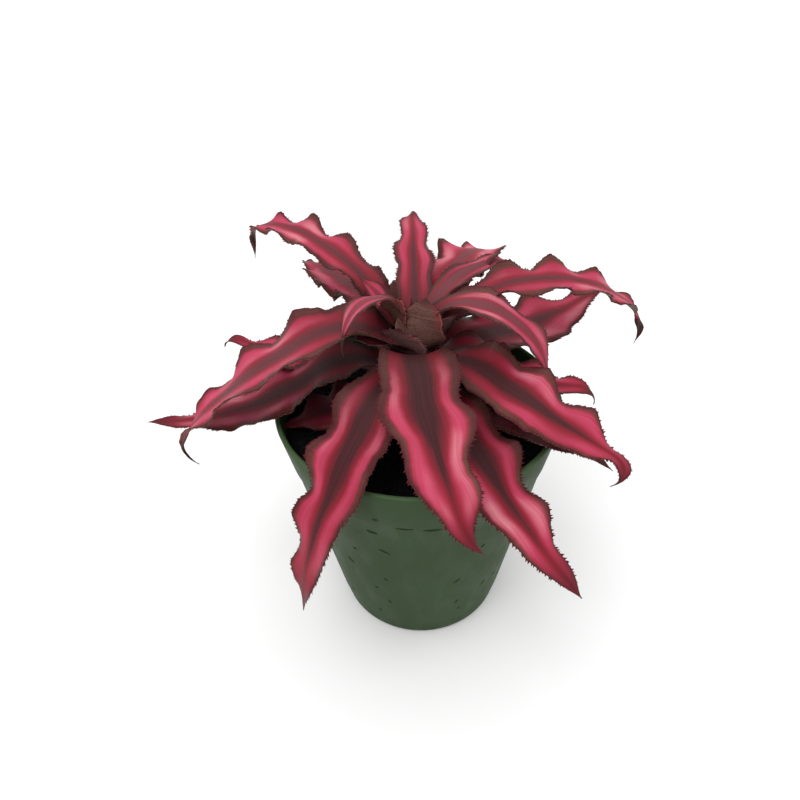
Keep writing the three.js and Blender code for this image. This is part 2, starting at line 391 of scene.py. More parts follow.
# %% Lay out the stripes
def stripes(b, leaf):
    """Masks of the centre band, of the margin, and of the full middle of the stripe between."""
    reach = abs(leaf.across) + (leaf.wobble - 0.5) * 0.20 + (leaf.fibres - 0.5) * 0.09
    centre_edge = b.ramp(leaf.along, 0.38, 0.92, leaf.band, 0.08)
    margin_edge = b.ramp(leaf.along, 0.30, 0.85, 0.76, 0.88)
    centre = 1.0 - b.ramp(reach - centre_edge, -0.22, 0.12)
    margin = b.ramp(reach - margin_edge, -0.09, 0.07)
    share = (reach - centre_edge) / (margin_edge - centre_edge)
    hump = b.ramp(share, 0.0, 0.50) * b.ramp(share, 1.20, 0.62)
    return centre, margin, hump


def stripe_colour(b, leaf, hump):
    """Crimson, turning rose where the stripe is fullest, with pale patches of painted highlight."""
    lit = b.ramp(leaf.along, 0.20, 0.52) * (1.0 - b.ramp(leaf.along, 0.72, 0.96) * 0.75)
    glow = b.ramp(leaf.patch + leaf.blush * 0.22, 0.25, 0.70)
    rosy = b.mix(hump * lit * (0.30 + glow * 0.70), CRIMSON, ROSE)
    # Pale patches where the stripe is fullest are painted highlights.
    highlight_patches = b.ramp(leaf.patch + leaf.blush * 0.15, 0.58, 0.80) * lit
    pale = b.mix(hump * hump * highlight_patches * 0.62, rosy, HIGHLIGHT_ROSE)
    return b.mix(b.ramp(leaf.fibres, 0.35, 0.7) * 0.30, pale, CRIMSON)


def centre_colour(b, leaf):
    """Wine brown with olive fibres, crimson at the tip, and mauve under a painted sheen."""
    middle = b.mix(b.ramp(leaf.fibres, 0.3, 0.75) * 0.45, WINE, WINE_OLIVE)
    middle = b.mix(b.ramp(leaf.along, 0.72, 0.97) * 0.75, middle, CRIMSON)
    # A painted sheen turns the centre band mauve.
    middle = b.mix(leaf.fade, middle, SHEEN_MAUVE)
    return b.mix(b.ramp(leaf.grain, 0.35, 0.7) * 0.25, middle, MARGIN)


def margin_colour(b, leaf):
    """Olive brown, darkening at the very edge to the red brown of the teeth."""
    uneven = leaf.grain * 0.6 + leaf.fibres * 0.5 + (leaf.wobble - 0.5)
    rim = b.mix(b.ramp(uneven, 0.38, 0.75), MARGIN, MARGIN_OLIVE)
    return b.mix(b.ramp(abs(leaf.across), 0.90, 1.0) * 0.85, rim, TOOTH)


print("stripes are laid out")


# %% Colour the two faces
def upper_colour(b, leaf, shade):
    """The striped face. On a leaf that lies in shadow, all but the margin is deepened by painted shade, and
    the face darkens towards the foot, partly in painted shade.
    """
    centre, margin, hump = stripes(b, leaf)
    upper = b.mix(centre, stripe_colour(b, leaf, hump), centre_colour(b, leaf))
    # Painted shade over a leaf that lies in shadow, on all but its margin.
    upper = b.mix(b.ramp(leaf.blush, 0.0, -1.0) * 0.7, upper, DEEP_SHADE)
    upper = b.mix(margin, upper, margin_colour(b, leaf))
    # Darker towards the foot: partly the leaf's own colour, partly painted shade from the crown.
    return b.mix(shade * 0.70, upper, SHADE_AND_DRY_BROWN)


def under_colour(b, leaf, shade):
    """The underside: brown with scurf in cross bands, a crimson flush, a paler edge, and darker towards the
    foot.
    """
    uneven = leaf.bands * 0.45 + leaf.grain * 0.75
    under = b.mix(b.ramp(uneven, 0.42, 0.74), UNDERSIDE, UNDERSIDE_LIT)
    flushed = b.ramp(leaf.across * 1.2 + leaf.patch + leaf.blush * 0.5, 0.55, 1.3)
    flushed = flushed * b.ramp(leaf.along, 0.35, 0.75)
    under = b.mix(flushed * 0.7, under, CRIMSON)
    under = b.mix(b.ramp(abs(leaf.across), 0.90, 1.0) * 0.6, under, PALE_EDGE)
    # Darker towards the foot: partly the leaf's own colour, partly painted shade from the crown.
    return b.mix(shade * 0.6, under, SHADE_AND_DRY_BROWN)


print("both faces have their colours")


# %% Mix the leaf finish
def leaf_finish():
    material, b = start_finish("striped_leaf")
    leaf = blade_patterns(b)
    # Each leaf darkens towards its foot: partly its own colour, partly painted shade from the crown. It
    # reaches less far up a leaf with a painted sheen.
    shade = 1.0 - b.ramp(leaf.along, 0.06, 0.58 - leaf.fade * 0.4)
    under, upper = under_colour(b, leaf, shade), upper_colour(b, leaf, shade)
    colour = b.mix(b.ramp(leaf.face, -0.2, 0.2), under, upper)
    scales = b.ramp(leaf.bands * 0.5 + leaf.grain, 0.55, 1.0)
    colour = b.mix(leaf.scurf * scales * 0.8, colour, SCURF)
    colour = b.mix(b.ramp(leaf.along, 0.81, 0.97) * 0.80, colour, TOOTH)
    dry = b.ramp(leaf.along - leaf.dry_from, 0.0, 0.055)
    colour = b.mix(dry * (0.75 + 0.25 * leaf.grain), colour, b.mix(leaf.grain, DRY, SHADE_AND_DRY_BROWN))
    relief = leaf.fibres * 0.6 + leaf.grain * 0.25 + leaf.bands * 0.25
    roughness = b.ramp(leaf.grain, 0.25, 0.75, 0.42, 0.60)
    end_finish(b, colour, roughness, relief, strength=0.5, depth=0.22 * MM, specular=0.14)
    return material


LEAF_FINISH = leaf_finish()
print("leaf finish:", len(LEAF_FINISH.node_tree.nodes), "nodes")

# %% [markdown]
# ## How a leaf grows
# Each leaf leaves the stem at a steep slope, bends over at its knee, and droops towards its
# tip, which is drawn out and may hook. Its blade is channelled at the foot and its margins
# grow faster than its middle, so they ruffle. These are smooth rules of the share t along the
# leaf, the same ones that the CAD model follows, so one Geometry Nodes tree grows every leaf.
# Across the leaf, s runs from -1 at its right margin to 1 at its left, and through the blade, q
# runs from -1 underneath to 1 on top.

# %% Measures that all leaves share
KNEE = 0.35  # share of the length at which the first, tighter arc ends
HOOK_START = 0.84  # share at which the drawn-out tip starts to curl
DROOP_POWER = 1.5  # above 1, so that the curl tightens towards the tip
WIDEST = 0.42  # share at which the blade is widest
SCALLOP = 0.16  # how far the margins swing in and out, as a share of the half-width
MARGIN_LEAD = 2.1  # radians by which the right margin's waves run ahead of the left's
UNEVENNESS = 0.16  # the range of the margins' random in and out, as a share of the half-width
RIPPLE = 1.5  # the range of the fine random ripples, as a multiple of the ruffle
BLADE_CREASE = math.radians(50)  # sharper edges than this are shaded sharp
MIDRIB_STEPS = 200
RIB_THICKNESS = 1.15 * MM
EDGE_THICKNESS = 0.40 * MM
TIP_HALF_WIDTH = 0.16 * MM
BLADE_COLUMNS = 17
ROW_SPACING = 0.55 * MM

GROWTH = [
    "azimuth", "sweep", "height", "length", "width", "rise", "crest", "fall",
    "hook", "curl", "roll", "cup", "foot", "waves", "phase", "ruffle", "slim",
]
LENGTHS = ("height", "length", "width", "ruffle")
print("a leaf grows by", len(GROWTH), "measures")


# %% Direction and width
def slope_and_heading(b, leaf, t):
    """Slope above the horizon and compass heading of the midrib at t, in radians."""
    droop = b.ramp(t, HOOK_START, 1.0, kind="LINEAR") ** DROOP_POWER
    knee = b.ramp(t, 0.0, KNEE, kind="LINEAR")
    beyond = b.ramp(t, KNEE, 1.0, kind="LINEAR")
    slope = leaf["rise"] + (leaf["crest"] - leaf["rise"]) * knee
    slope = slope + (leaf["fall"] - leaf["crest"]) * beyond - leaf["hook"] * droop
    heading = leaf["azimuth"] + leaf["sweep"] * t + leaf["curl"] * droop
    return slope.math("RADIANS"), heading.math("RADIANS")


def midrib_tangent(b, slope, heading):
    level = slope.math("COSINE")
    return b.xyz(level * heading.math("COSINE"), level * heading.math("SINE"), slope.math("SINE"))


def half_width(b, leaf, t):
    """A narrower foot, the full width at WIDEST, then a long drawn-out tip."""
    foot = leaf["foot"] + (1.0 - leaf["foot"]) * b.ramp(t, 0.0, WIDEST)
    tip = (1.0 - b.ramp(t, WIDEST, 1.0, kind="LINEAR") ** 2.1) ** 1.15
    slim = 1.0 - leaf["slim"] * b.ramp(t, HOOK_START - 0.12, HOOK_START + 0.05)
    return (leaf["width"] * 0.5 * foot * tip * slim).math("MAXIMUM", TIP_HALF_WIDTH)


print("direction and width are written")


# %% Waves and ripples
def margin_wave(leaf, t, left):
    """The ruffle's wave from -1 to 1; the two margins are out of step."""
    phase = leaf["phase"] + MARGIN_LEAD * (1.0 - left)
    return (leaf["waves"] * t * (2 * math.pi) + phase).math("SINE")


def margin_noise(b, leaf, t, left, apart, repeats, detail):
    """From -0.5 to 0.5 at random along each margin. Apart keeps margins and leaves different."""
    trail = b.xyz(t * leaf["length"] / MM, left * apart[0], leaf["seed"] * apart[1])
    return b.noise(trail, repeats, detail) - 0.5


def lift(b, leaf, t, s, half, left):
    """How far the blade stands above its midrib: its channel, its waves and finer ripples."""
    channel = leaf["cup"] * (1.0 - 0.75 * b.ramp(t, 0.0, 0.45)) * half
    fade = (t * math.pi).math("SINE").math("MAXIMUM", 0.0) ** 0.6
    side = abs(s)
    wave = margin_wave(leaf, t, left) * side**2.4
    ripple = margin_noise(b, leaf, t, left, (40.0, 7.3), 0.22, 1.0) * RIPPLE * side**4
    return channel * s * s + leaf["ruffle"] * fade * (wave + ripple)


print("waves and ripples are written")


# %% A point of the blade
def blade_point(b, leaf, midrib, t, s, q):
    """A point of the blade, and the blade's tangent and upward normal there."""
    slope, heading = slope_and_heading(b, leaf, t)
    tangent = midrib_tangent(b, slope, heading)
    level_side = b.xyz(-1.0 * heading.math("SINE"), heading.math("COSINE"), 0.0)
    roll = {"Vector": level_side, "Axis": tangent, "Angle": (leaf["roll"] * t).math("RADIANS")}
    side = b.add("ShaderNodeVectorRotate", {"rotation_type": "AXIS_ANGLE"}, roll)
    up = b.vector("CROSS_PRODUCT", tangent, side)
    half = half_width(b, leaf, t)
    left = s.math("GREATER_THAN", 0.0)
    uneven = margin_noise(b, leaf, t, left, (30.0, 3.1), 0.30, 2.0) * UNEVENNESS
    swing = 1.0 + uneven * b.ramp(t, 0.02, 0.2)
    swing = swing + margin_wave(leaf, t, left) * SCALLOP * b.ramp(t, 0.25, 0.5)
    thick = RIB_THICKNESS + (EDGE_THICKNESS - RIB_THICKNESS) * abs(s)
    thick = thick * b.ramp(t, 1.0, 0.8, 0.3, 1.0)
    at_share = {"Curves": midrib, "Factor": t}
    rib = b.add("GeometryNodeSampleCurve", {"mode": "FACTOR"}, at_share, "Position")
    height = lift(b, leaf, t, s, half, left) + q * thick * 0.5
    point = b.vector("ADD", rib, b.scaled(side, s * half * swing))
    return b.vector("ADD", point, b.scaled(up, height)), tangent, up


print("growth rules are written")

# %% [markdown]
# ## The midrib
# A midrib has no simple formula for its points, only for its direction. Accumulate Field adds
# up short steps in that direction, as a turtle drawing does, and the points become a curve
# that any later node can sample by its share along the length.


# %% Grow the midrib
def midrib_curve(b, leaf):
    t = b.add("GeometryNodeInputIndex") / MIDRIB_STEPS
    slope, heading = slope_and_heading(b, leaf, t)
    step = b.scaled(midrib_tangent(b, slope, heading), leaf["length"] / MIDRIB_STEPS)
    total = {"data_type": "FLOAT_VECTOR"}
    walked = b.add("GeometryNodeAccumulateField", total, {0: step}, "Trailing")
    root = leaf["azimuth"].math("RADIANS")
    outward = b.xyz(root.math("COSINE"), root.math("SINE"), 0.0)
    start = b.vector("ADD", b.scaled(outward, leaf["root radius"]), b.xyz(0.0, 0.0, leaf["height"]))
    line = b.add("GeometryNodeMeshLine", None, {"Count": MIDRIB_STEPS + 1})
    path = b.vector("ADD", start, walked)
    placed = b.add("GeometryNodeSetPosition", None, {"Geometry": line, "Position": path})
    return b.add("GeometryNodeMeshToCurve", None, {"Mesh": placed})


print("a midrib takes", MIDRIB_STEPS, "steps")


# %% Store a blade's coordinates
def keep(b, geometry, name, value, kind="FLOAT"):
    sockets = {"Geometry": geometry, "Name": name, "Value": value}
    return b.add("GeometryNodeStoreNamedAttribute", {"data_type": kind}, sockets)


def keep_blade(b, leaf, geometry, t, s, q):
    """Stores what the finish reads: the share along and across, the face, the place, the looks."""
    half_mm = half_width(b, leaf, t) / MM
    place = b.xyz(s * half_mm, t * leaf["length"] / MM, leaf["seed"] * 13.7)
    geometry = keep(b, geometry, "blade_along", t)
    geometry = keep(b, geometry, "blade_across", s)
    geometry = keep(b, geometry, "blade_face", q)
    geometry = keep(b, geometry, "blade_place", place, "FLOAT_VECTOR")
    for look in LOOKS:
        geometry = keep(b, geometry, "leaf_" + look, leaf[look])
    return geometry


print("blade coordinates can be stored")

# %% [markdown]
# ## The blade and its teeth
# The blade starts as a flat box cut into rows and columns. Its own coordinates say which point
# of the leaf each vertex becomes, and Set Position bends the box into the leaf. The margin is
# armed with small forward-leaning teeth. They are one five-sided cone, instanced along both
# edges and turned into the blade's plane.


# %% Bend a flat box into the blade
def blade_mesh(b, leaf, midrib):
    grid = {"Vertices X": leaf["rows"], "Vertices Y": BLADE_COLUMNS, "Vertices Z": 2}
    box = b.add("GeometryNodeMeshCube", None, grid)
    corner = b.add("ShaderNodeSeparateXYZ", None, {0: b.add("GeometryNodeInputPosition")})
    t, s, q = corner + 0.5, corner.out("Y") * 2.0, corner.out("Z") * 2.0
    blade = keep_blade(b, leaf, box, t, s, q)
    point, _, _ = blade_point(b, leaf, midrib, t, s, q)
    blade = b.add("GeometryNodeSetPosition", None, {"Geometry": blade, "Position": point})
    sharp = b.add("GeometryNodeInputMeshEdgeAngle").math("GREATER_THAN", BLADE_CREASE)
    sockets = {"Geometry": blade, "Selection": sharp, "Shade Smooth": False}
    return b.add("GeometryNodeSetShadeSmooth", {"domain": "EDGE"}, sockets)


print("a blade has", BLADE_COLUMNS, "columns of points, and rows", ROW_SPACING, "apart")

# %% Arm the margins with teeth
TOOTH_SPACING = 1.05 * MM
TOOTH_LENGTH = 1.05 * MM
TOOTH_RADIUS = 0.42 * MM
TOOTH_FLATNESS = 0.42  # its thickness through the blade, as a share of its width
TOOTH_LEAN = 0.45  # how far it leans forwards for each step outwards
TOOTH_SIDES = 5
TOOTH_SEAT = 0.985  # where it stands, as a share of the half-width
TOOTH_LOOK = 1.05  # the share across that its finish reads, which is past the margin
FIRST_TOOTH = 0.05  # share of the leaf's length
TOOTHED_SHARE = 0.925


def random_number(b, low, high, seed):
    """A number for each point. Inputs 2 and 3 are the lowest and highest it can be."""
    sockets = {2: low, 3: high, "Seed": seed}
    return b.add("FunctionNodeRandomValue", {"data_type": "FLOAT"}, sockets, 1)


def margin_teeth(b, leaf, midrib):
    """Teeth on both margins by turns: the even ones on the right and the odd ones on the left."""
    index = b.add("GeometryNodeInputIndex")
    edge = index.math("MODULO", 2.0) * 2.0 - 1.0
    jitter = random_number(b, 0.0, 0.8, leaf["seed"])
    share = ((index / 2.0).math("FLOOR") + jitter) / (leaf["teeth"] * 0.5)
    t = FIRST_TOOTH + share * TOOTHED_SHARE
    seat, tangent, up = blade_point(b, leaf, midrib, t, edge * TOOTH_SEAT, 0.0)
    side = b.vector("CROSS_PRODUCT", up, tangent)
    lean = b.vector("ADD", b.scaled(side, edge), b.scaled(tangent, TOOTH_LEAN))
    lean = b.vector("ADD", lean, b.scaled(up, leaf["cup"] * 0.5))

    points = b.add("GeometryNodeMeshLine", None, {"Count": leaf["teeth"]})
    points = keep_blade(b, leaf, points, t, edge * TOOTH_LOOK, 1.0)
    points = keep(b, points, "tooth_lean", lean, "FLOAT_VECTOR")
    points = keep(b, points, "tooth_up", up, "FLOAT_VECTOR")
    full_size = b.ramp(half_width(b, leaf, t), 0.4 * MM, 4.5 * MM, 0.3, 1.0)
    points = keep(b, points, "tooth_size", full_size)
    points = b.add("GeometryNodeSetPosition", None, {"Geometry": points, "Position": seat})

    cone = {"Vertices": TOOTH_SIDES, "Radius Bottom": TOOTH_RADIUS, "Depth": TOOTH_LENGTH}
    tooth = b.add("GeometryNodeMeshCone", None, cone)
    turn = facing(b, stored(b, "tooth_lean"), stored(b, "tooth_up"))
    size = random_number(b, 0.55, 1.25, leaf["seed"] + 5) * stored(b, "tooth_size", "FLOAT")
    return set_out(b, points, tooth, turn, b.xyz(size * TOOTH_FLATNESS, size, size))


print("teeth stand about", TOOTH_SPACING, "apart")


# %% Build the leaf recipe
def leaf_recipe():
    inputs = {name: "Float" for name in [*GROWTH, "root radius", *LOOKS]}
    inputs |= {"seed": "Int", "rows": "Int", "teeth": "Int", "material": "Material"}
    b, group = recipe("striped leaf", inputs)
    leaf = {name: group.out(name) for name in inputs}
    midrib = midrib_curve(b, leaf)
    parts = [blade_mesh(b, leaf, midrib), margin_teeth(b, leaf, midrib)]
    serve(b, parts, leaf["material"])
    return b


LEAF_RECIPE = leaf_recipe()
print("leaf recipe:", len(LEAF_RECIPE.tree.nodes), "nodes")

# %% [markdown]
# ## The leaves, from the oldest and lowest to the youngest
# Each row of the first table grows one leaf. Its columns are the ones named in GROWTH, with the
# values that the CAD model uses, in millimetres and degrees. Azimuth and height say where the
# leaf leaves the stem, and sweep how far it turns to the left on its way. Rise, crest and fall
# are its slope at the base, the knee and the tip. Hook and curl turn the tip down and left,
# roll twists the blade, and cup channels its base. Foot is its width at the base as a share of
# the whole, and slim the share that it loses early towards the tip. Waves, phase and ruffle are
# the number, the start and the height of the margins' waves.

# %% How each leaf grows
LEAVES = {
    "low_leaf_left": (-166, 0, 99, 44, 24, 26, -8, -16, 0, 0, 0, 0.3, 0.3, 4, 0.4, 1.4, 0.3),
    "low_leaf_back": (84, 6, 97, 86, 24, 36, 0, -40, 20, 0, 0, 0.3, 0.3, 4, 2, 1.8, 0.3),
    "low_leaf_right": (-37, 14, 99, 70, 17, 44, -3, -22, 20, 0, 0, 0.3, 0.3, 4.5, 1, 1.2, 0.3),
    "low_leaf_back_left": (116, -8, 101, 88, 24, 40, -6, -36, 20, 0, 0, 0.3, 0.3, 4, 4, 1.8, 0.3),
    "low_leaf_back_right": (52, 4, 99, 88, 22, 38, -4, -40, 20, 0, 0, 0.3, 0.3, 4.5, 3, 1.8, 0.3),
    "outer_leaf_front_right": (-70, 26, 103, 95, 22.5, 62, -30, -28, 0, 0, 0, 0.35, 0.3, 4.5, 0, 2, -0.2),
    "outer_leaf_right_back": (36, -5, 103, 90, 33, 54, -14, 20, 30, 0, 0, 0.35, 0.3, 4.5, 1, 2.2, 0.2),
    "outer_leaf_left_back": (165, 0, 104, 74, 19, 40, -10, 26, 104, 0, 0, 0.35, 0.3, 5, 2, 1.6, 0.35),
    "outer_leaf_left": (-171, -2, 107, 99, 28, 64, -35, 8, 0, 0, 0, 0.35, 0.3, 4.5, 3.6, 2, 0.2),
    "outer_leaf_right": (-5, -6, 110, 70, 20, 88, -38, 14, 124, -36, 0, 0.35, 0.3, 5, 0, 1.6, 0.2),
    "outer_leaf_front_left": (-108, -41, 105, 116, 23, 82, -35, -86, 0, 0, 0, 0.4, 0.3, 5.6, 0.3, 1.6, -0.35),
    "outer_leaf_back_left": (126, -10, 108, 104, 22, 72, -6, -16, 20, 0, 0, 0.4, 0.3, 6, 1, 3.3, 0.2),
    "outer_leaf_back_right": (64, 4, 112, 98, 24, 82, 8, -50, 0, 0, 0, 0.4, 0.3, 5, 2, 2.8, 0.2),
    "broad_leaf_right": (-41, 13, 113, 87, 26, 58, -20, -17, 30, -190, 0, 0.4, 0.3, 4.5, 0, 2, 0.35),
    "broad_leaf_front": (-95, 34, 115, 89, 25, 70, -13, -47, 0, 60, 0, 0.4, 0.75, 4, 0, 1.3, -0.12),
    "tall_leaf_left": (141, -12, 115, 119, 15.5, 72, 17, -40, 110, -43, -10, 0.45, 0.3, 6, 3, 2.4, 0.1),
    "broad_leaf_left": (-164, -4, 117, 111, 30, 70, -22, -52, 124, -40, 14, 0.45, 0.6, 5, 0.4, 2.2, 0.6),
    "tall_leaf_right": (19, 6, 116, 121, 18.5, 70, -2, -60, 60, 10, 18, 0.45, 0.3, 6, 1.45, 2.4, 0.1),
    "tall_leaf_back": (92, -2, 118, 67, 13, 62, 34, -8, 0, 0, 0, 0.45, 0.8, 4, 0, 1.2, -0.35),
    "inner_leaf_right": (0, -40, 124, 66, 15, 90, 0, -84, 0, 0, 0, 0.6, 0.4, 3, 0, 1.2, 0.3),
    "inner_leaf_back_right": (52, -3, 121, 70, 8, 86, 6, -32, 0, 0, 30, 0.6, 0.5, 3, 0, 0.8, 0.2),
    "inner_leaf_left": (196, 45, 126, 48, 6.5, 90, 42, -104, 0, 0, 0, 0.6, 0.4, 3, 0, 0.8, 0.4),
    "crown_leaf_outer": (-124, 0, 117, 18, 18, 50, 66, 92, 0, 0, 0, 0.6, 0.6, 1.5, 1, 0.6, -0.4),
    "inner_leaf_front_left": (-146, -20, 120, 26, 9, 82, 18, 16, 0, 0, 0, 0.6, 0.4, 2.5, 0, 0.8, 0.3),
    "inner_leaf_back_left": (152, 0, 123, 28, 10, 70, 46, 36, 0, 0, 0, 0.6, 0.5, 2.5, 0, 0.8, 0),
    "crown_leaf_left": (174, 0, 121, 20.5, 14.5, 72, 74, 60, 0, 0, 84, 0.1, 0.5, 1.5, 0, 0.6, -0.5),
    "crown_leaf_front": (-72, -62, 121, 21.5, 17, 44, 100, 118, 0, 0, 0, 0, 0.22, 1.5, 0, 0.6, -0.3),
    "crown_leaf_right": (-26, 20, 118, 23, 7.5, 84, 66, 36, 0, 0, -60, 0.5, 0.5, 1.5, 0, 0.6, 0.2),
}
print(len(LEAVES), "leaves in the table")

# %% [markdown]
# The second table says how each leaf looks: how far its stripes blush towards pink and take
# painted highlights, or below zero how deep the painted shade over it is; the share of its
# length where the dry brown tip starts; how scurfy its skin is; how far a painted sheen turns its
# centre band mauve and shortens the painted shade at its foot; and the share of its half-width
# that this band takes up.

# %% How each leaf looks
LEAF_LOOKS = {
    "low_leaf_left": (-1, 0.97, 0, 0.2, 0.36),
    "low_leaf_back": (0, 0.95, 0, 0.3, 0.36),
    "low_leaf_right": (-1, 0.9, 0.2, 0, 0.36),
    "low_leaf_back_left": (0, 0.94, 0, 0.3, 0.36),
    "low_leaf_back_right": (0, 0.95, 0, 0.3, 0.36),
    "outer_leaf_front_right": (0.5, 0.955, 0, 0.05, 0.38),
    "outer_leaf_right_back": (1, 0.95, 0, 0.2, 0.34),
    "outer_leaf_left_back": (0, 0.9, 0, 0.3, 0.36),
    "outer_leaf_left": (1, 0.96, 0, 0.2, 0.36),
    "outer_leaf_right": (0, 0.88, 0, 0.3, 0.28),
    "outer_leaf_front_left": (-0.1, 0.97, 0, 0.05, 0.4),
    "outer_leaf_back_left": (0.6, 0.95, 0, 0.5, 0.28),
    "outer_leaf_back_right": (0.9, 0.97, 0, 0.6, 0.26),
    "broad_leaf_right": (0, 0.93, 0, 0.05, 0.36),
    "broad_leaf_front": (0.5, 0.975, 0, 0, 0.42),
    "tall_leaf_left": (0.2, 0.86, 0, 0.35, 0.26),
    "broad_leaf_left": (0.8, 0.88, 0, 0.35, 0.32),
    "tall_leaf_right": (0.4, 0.88, 0, 0.35, 0.22),
    "tall_leaf_back": (0.6, 0.98, 0.15, 0.25, 0.26),
    "inner_leaf_right": (0.8, 0.96, 0.35, 0.6, 0.36),
    "inner_leaf_back_right": (-0.3, 0.92, 0.4, 0.7, 0.5),
    "inner_leaf_left": (0.4, 0.8, 0.6, 0.9, 0.3),
    "crown_leaf_outer": (-1, 0.9, 1.6, 0, 0.36),
    "inner_leaf_front_left": (-0.5, 0.8, 0.4, 0.8, 0.36),
    "inner_leaf_back_left": (0.2, 0.95, 0.2, 0.7, 0.26),
    "crown_leaf_left": (-1, 0.9, 0, 1, 0.36),
    "crown_leaf_front": (-1, 0.9, 0.25, 1, 0.36),
    "crown_leaf_right": (-1, 0.9, 1.8, 0, 0.36),
}
print("leaves that blush:", sum(row[0] > 0 for row in LEAF_LOOKS.values()))

# %% Stem sizes that the leaves stand on
stem_low, stem_high = (corner.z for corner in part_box("stem"))
STEM_ROOT_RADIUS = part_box("stem")[1].x
STEM_TOP_RADIUS = 1.6 * MM
CAD_RIB_THICKNESS = 1.3 * MM
GAP = 0.3 * MM


def stem_radius(z):
    share = min(max((z - stem_low) / (stem_high - stem_low), 0.0), 1.0)
    return STEM_ROOT_RADIUS + (STEM_TOP_RADIUS - STEM_ROOT_RADIUS) * share


print("stem from", round(stem_low, 4), "to", round(stem_high, 4))

# %% Grow every leaf
FEWEST_ROWS = 30
for seed, (name, row) in enumerate(LEAVES.items(), start=1):
    leaf = dict(zip([*GROWTH, *LOOKS], map(float, (*row, *LEAF_LOOKS[name]))))
    for measure in LENGTHS:
        leaf[measure] *= MM
    leaf["root radius"] = stem_radius(leaf["height"]) + GAP + CAD_RIB_THICKNESS / 2
    leaf["seed"] = seed
    leaf["rows"] = max(FEWEST_ROWS, round(leaf["length"] / ROW_SPACING))
    leaf["teeth"] = 2 * round(leaf["length"] / TOOTH_SPACING)
    leaf["material"] = LEAF_FINISH
    piece = cook("leaf_" + name.replace("_leaf", ""), LEAF_RECIPE, leaf)
    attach(piece, "root")
    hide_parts(name)
    print(piece.name, triangles(piece), "triangles")

# %% [markdown]
# ## Turned pieces
# The pot, the soil and the stem are round. Each is turned like wood on a lathe: a profile of
# radius and height is carried round the axis. A point on the axis becomes a single pole.


# %% Lathe
def turned(name, profile, sides):
    """A closed mesh turned from (radius, height) points, from the axis below to the axis above."""
    form = bmesh.new()
    angles = [2 * math.pi * i / sides for i in range(sides)]
    rings = [
        [form.verts.new((r * math.cos(a), r * math.sin(a), z)) for a in (angles if r > 0 else [0])]
        for r, z in profile
    ]
    for low, high in zip(rings, rings[1:]):
        for i in range(sides):
            j = (i + 1) % sides
            around = [low[i % len(low)], low[j % len(low)], high[j % len(high)], high[i % len(high)]]
            form.faces.new(list(dict.fromkeys(around)))
    mesh = bpy.data.meshes.new(name)
    form.to_mesh(mesh)
    form.free()
    mesh.polygons.foreach_set("use_smooth", [True] * len(mesh.polygons))
    return mesh


def rounded(centre_r, centre_z, radius, start, end, steps):
    """Points of an arc in the profile, in degrees from outwards to upwards."""
    for i in range(steps + 1):
        angle = math.radians(start + (end - start) * i / steps)
        yield centre_r + radius * math.cos(angle), centre_z + radius * math.sin(angle)


def sampled(start, end, steps):
    """Points between two profile points, both ends left out."""
    for i in range(1, steps):
        share = i / steps
        yield tuple(a + (b - a) * share for a, b in zip(start, end))


print("the lathe is ready")

# %% [markdown]
# ## Pot plastic
# Injection-moulded polypropylene is matt, with a faint pebbled skin. Its green is uneven where
# it has been handled and watered: dust greys it, and the outside of the foot is rubbed lighter.
# A painted highlight lightens the lip. The noises' sizes are in repeats per metre.

# %% Mix the pot finish
POT_GAIN = 0.56
POT_GREEN = screen(64, 92, 52, POT_GAIN)
POT_DEEP = screen(54, 79, 42, POT_GAIN)
POT_DUST = screen(98, 108, 78, POT_GAIN)
# Lighter green, for the rubbed foot and for the painted highlight on the lip.
POT_WEAR_AND_HIGHLIGHT = screen(104, 130, 90, POT_GAIN)
CLOUDS, DUST, PEBBLES = 22.0, 120.0, 1500.0


def pot_finish(height):
    material, b = start_finish("moulded_green_plastic")
    place = object_place(b)
    level = b.add("ShaderNodeSeparateXYZ", None, {0: place}, "Z") / height
    clouds = b.noise(place, CLOUDS, 2.0)
    dust = b.noise(b.vector("MULTIPLY", place, (1.0, 1.0, 0.45)), DUST, 4.0, 0.6)
    pebbles = b.noise(place, PEBBLES, 2.0)
    colour = b.mix(b.ramp(clouds, 0.2, 0.8), POT_DEEP, POT_GREEN)
    colour = b.mix(b.ramp(dust, 0.52, 0.78) * 0.22, colour, POT_DUST)
    # A painted highlight along the lip, and rubbing round the outside of the foot.
    lip_highlight = b.ramp(level + (dust - 0.5) * 0.012, 0.990, 0.999) * 0.6
    foot = b.ramp(level + (dust - 0.5) * 0.05, 0.035, 0.0) * 0.25
    colour = b.mix(lip_highlight.math("MAXIMUM", foot), colour, POT_WEAR_AND_HIGHLIGHT)
    relief = pebbles * 0.4 + dust * 0.6
    roughness = b.ramp(dust, 0.3, 0.7, 0.50, 0.64)
    end_finish(b, colour, roughness, relief, strength=0.35, depth=0.2 * MM, specular=0.18)
    return material


pot_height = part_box("pot")[1].z
POT_FINISH = pot_finish(pot_height)
print("pot height:", round(pot_height, 4))

# %% [markdown]
# ## Nursery pot
# The wall tapers to the foot, so that empty pots nest, and a deeper band stiffens the rim. The
# lip is rounded so that it doesn't cut, and the heel so that it leaves the mould. Water drains
# through six holes. Handling has left small nicks in the wall. Holes and nicks are real cuts,
# made by subtracting a cutter that Geometry Nodes sets out around the pot.

# %% Pot profile
RIM_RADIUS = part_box("pot")[1].x
BASE_RADIUS = 33.5 * MM
WALL = 1.3 * MM
FLOOR = 2.0 * MM
HEEL = 2.5 * MM
BAND_FOOT = pot_height - 17 * MM
BAND_STEP = 0.8 * MM
LIP = 0.9 * MM
POT_SIDES = 256
POT_CREASE = math.radians(32)  # sharper edges than this are shaded sharp


def wall_radius(z):
    return BASE_RADIUS + (RIM_RADIUS - BASE_RADIUS) * z / pot_height


